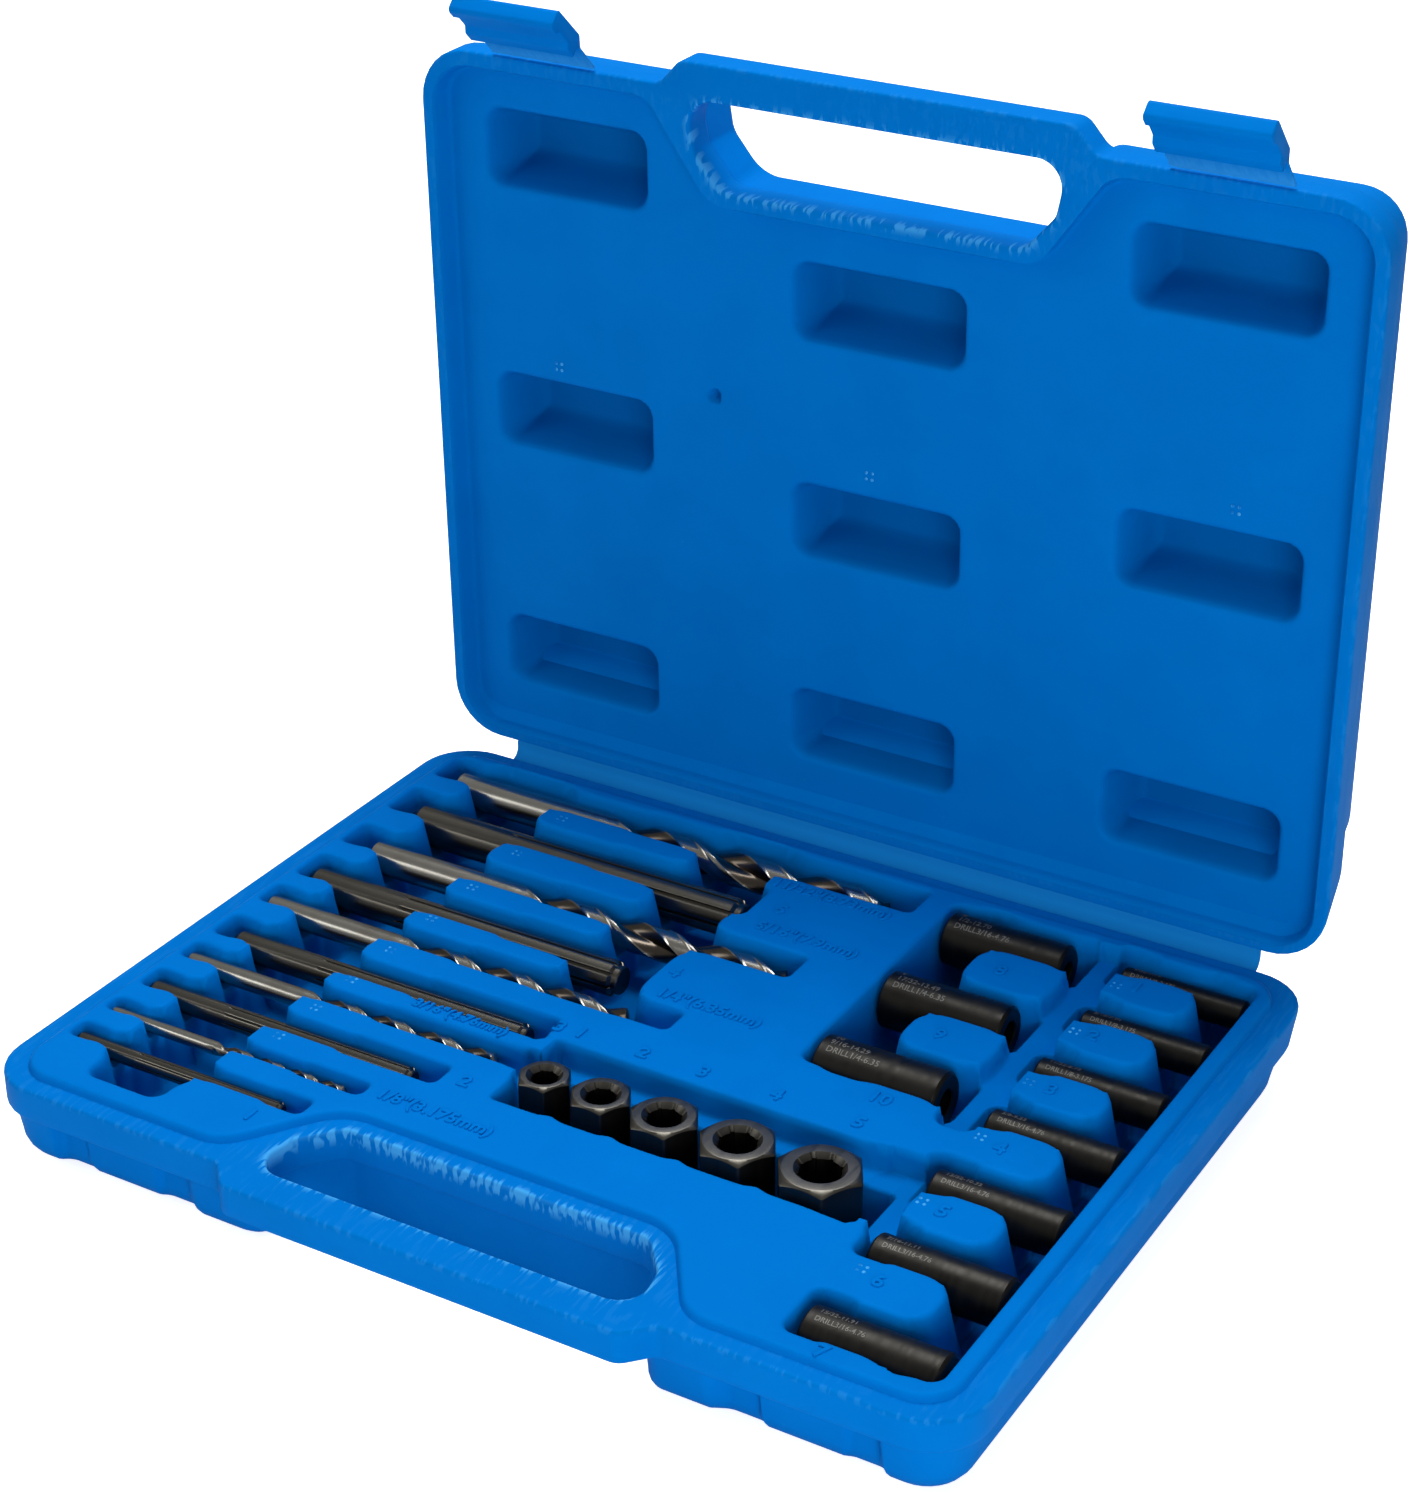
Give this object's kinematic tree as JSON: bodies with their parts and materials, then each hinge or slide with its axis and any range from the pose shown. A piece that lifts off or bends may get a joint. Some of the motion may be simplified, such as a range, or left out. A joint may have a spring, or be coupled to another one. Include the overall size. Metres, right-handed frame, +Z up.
{
  "type": "screw extractor set",
  "caption": "Hinged plastic case with latches, open, holding twist drills, straight fluted extractors, turn nuts and guide sleeves in a moulded tray",
  "frame": {"origin": "centre of the base's resting face, on the surface it stands on", "axes": "+X to the right along the hinge, +Y from the handle to the hinge, +Z up"},
  "size_m": [0.24, 0.2119, 0.2257],
  "materials": {
    "case_plastic": "fine grained blow-moulded polyethylene",
    "film_plastic": "thin polyethylene, paler where it bends",
    "drill_steel": "ground high speed steel with dark flutes",
    "extractor_steel": "dark oiled steel with bright lands",
    "nut_steel": "dark oiled steel, turned tops",
    "sleeve_steel": "dark oiled steel, turned"
  },
  "bodies": {
    "base": {"case_base": "case_plastic", "lid_hinge": "film_plastic"},
    "lid": {"case_lid": "case_plastic"},
    "latch_left": {"latch_left": "case_plastic"},
    "latch_right": {"latch_right": "case_plastic"},
    "drill_bit_1": {"drill_bit_1": "drill_steel"},
    "drill_bit_2": {"drill_bit_2": "drill_steel"},
    "drill_bit_3": {"drill_bit_3": "drill_steel"},
    "drill_bit_4": {"drill_bit_4": "drill_steel"},
    "drill_bit_5": {"drill_bit_5": "drill_steel"},
    "extractor_1": {"extractor_1": "extractor_steel"},
    "extractor_2": {"extractor_2": "extractor_steel"},
    "extractor_3": {"extractor_3": "extractor_steel"},
    "extractor_4": {"extractor_4": "extractor_steel"},
    "extractor_5": {"extractor_5": "extractor_steel"},
    "turn_nut_1": {"turn_nut_1": "nut_steel"},
    "turn_nut_2": {"turn_nut_2": "nut_steel"},
    "turn_nut_3": {"turn_nut_3": "nut_steel"},
    "turn_nut_4": {"turn_nut_4": "nut_steel"},
    "turn_nut_5": {"turn_nut_5": "nut_steel"},
    "guide_sleeve_1": {"guide_sleeve_1": "sleeve_steel"},
    "guide_sleeve_2": {"guide_sleeve_2": "sleeve_steel"},
    "guide_sleeve_3": {"guide_sleeve_3": "sleeve_steel"},
    "guide_sleeve_4": {"guide_sleeve_4": "sleeve_steel"},
    "guide_sleeve_5": {"guide_sleeve_5": "sleeve_steel"},
    "guide_sleeve_6": {"guide_sleeve_6": "sleeve_steel"},
    "guide_sleeve_7": {"guide_sleeve_7": "sleeve_steel"},
    "guide_sleeve_8": {"guide_sleeve_8": "sleeve_steel"},
    "guide_sleeve_9": {"guide_sleeve_9": "sleeve_steel"},
    "guide_sleeve_10": {"guide_sleeve_10": "sleeve_steel"}
  },
  "joints": [
    {"name": "lid_hinge", "type": "hinge", "parent": "base", "child": "lid", "pos_m": [0, 0.09385, 0.023], "axis": [-1, 0, 0], "range_deg": [-88.65, 91.35]},
    {"name": "latch_left_turn", "type": "hinge", "parent": "lid", "child": "latch_left", "pos_m": [-0.0853, 0.08937, 0.20885], "axis": [-1, 0, 0], "range_deg": [-45, 115]},
    {"name": "latch_right_turn", "type": "hinge", "parent": "lid", "child": "latch_right", "pos_m": [0.0844, 0.08937, 0.20885], "axis": [-1, 0, 0], "range_deg": [-48, 112]},
    {"name": "drill_bit_1_lift", "type": "slide", "parent": "base", "child": "drill_bit_1", "axis": [0, 0, 1], "range_m": [0, 0.04]},
    {"name": "drill_bit_2_lift", "type": "slide", "parent": "base", "child": "drill_bit_2", "axis": [0, 0, 1], "range_m": [0, 0.04]},
    {"name": "drill_bit_3_lift", "type": "slide", "parent": "base", "child": "drill_bit_3", "axis": [0, 0, 1], "range_m": [0, 0.04]},
    {"name": "drill_bit_4_lift", "type": "slide", "parent": "base", "child": "drill_bit_4", "axis": [0, 0, 1], "range_m": [0, 0.04]},
    {"name": "drill_bit_5_lift", "type": "slide", "parent": "base", "child": "drill_bit_5", "axis": [0, 0, 1], "range_m": [0, 0.04]},
    {"name": "extractor_1_lift", "type": "slide", "parent": "base", "child": "extractor_1", "axis": [0, 0, 1], "range_m": [0, 0.04]},
    {"name": "extractor_2_lift", "type": "slide", "parent": "base", "child": "extractor_2", "axis": [0, 0, 1], "range_m": [0, 0.04]},
    {"name": "extractor_3_lift", "type": "slide", "parent": "base", "child": "extractor_3", "axis": [0, 0, 1], "range_m": [0, 0.04]},
    {"name": "extractor_4_lift", "type": "slide", "parent": "base", "child": "extractor_4", "axis": [0, 0, 1], "range_m": [0, 0.04]},
    {"name": "extractor_5_lift", "type": "slide", "parent": "base", "child": "extractor_5", "axis": [0, 0, 1], "range_m": [0, 0.04]},
    {"name": "turn_nut_1_lift", "type": "slide", "parent": "base", "child": "turn_nut_1", "axis": [0, 0, 1], "range_m": [0, 0.04]},
    {"name": "turn_nut_2_lift", "type": "slide", "parent": "base", "child": "turn_nut_2", "axis": [0, 0, 1], "range_m": [0, 0.04]},
    {"name": "turn_nut_3_lift", "type": "slide", "parent": "base", "child": "turn_nut_3", "axis": [0, 0, 1], "range_m": [0, 0.04]},
    {"name": "turn_nut_4_lift", "type": "slide", "parent": "base", "child": "turn_nut_4", "axis": [0, 0, 1], "range_m": [0, 0.04]},
    {"name": "turn_nut_5_lift", "type": "slide", "parent": "base", "child": "turn_nut_5", "axis": [0, 0, 1], "range_m": [0, 0.04]},
    {"name": "guide_sleeve_1_lift", "type": "slide", "parent": "base", "child": "guide_sleeve_1", "axis": [0, 0, 1], "range_m": [0, 0.04]},
    {"name": "guide_sleeve_2_lift", "type": "slide", "parent": "base", "child": "guide_sleeve_2", "axis": [0, 0, 1], "range_m": [0, 0.04]},
    {"name": "guide_sleeve_3_lift", "type": "slide", "parent": "base", "child": "guide_sleeve_3", "axis": [0, 0, 1], "range_m": [0, 0.04]},
    {"name": "guide_sleeve_4_lift", "type": "slide", "parent": "base", "child": "guide_sleeve_4", "axis": [0, 0, 1], "range_m": [0, 0.04]},
    {"name": "guide_sleeve_5_lift", "type": "slide", "parent": "base", "child": "guide_sleeve_5", "axis": [0, 0, 1], "range_m": [0, 0.04]},
    {"name": "guide_sleeve_6_lift", "type": "slide", "parent": "base", "child": "guide_sleeve_6", "axis": [0, 0, 1], "range_m": [0, 0.04]},
    {"name": "guide_sleeve_7_lift", "type": "slide", "parent": "base", "child": "guide_sleeve_7", "axis": [0, 0, 1], "range_m": [0, 0.04]},
    {"name": "guide_sleeve_8_lift", "type": "slide", "parent": "base", "child": "guide_sleeve_8", "axis": [0, 0, 1], "range_m": [0, 0.04]},
    {"name": "guide_sleeve_9_lift", "type": "slide", "parent": "base", "child": "guide_sleeve_9", "axis": [0, 0, 1], "range_m": [0, 0.04]},
    {"name": "guide_sleeve_10_lift", "type": "slide", "parent": "base", "child": "guide_sleeve_10", "axis": [0, 0, 1], "range_m": [0, 0.04]}
  ]
}
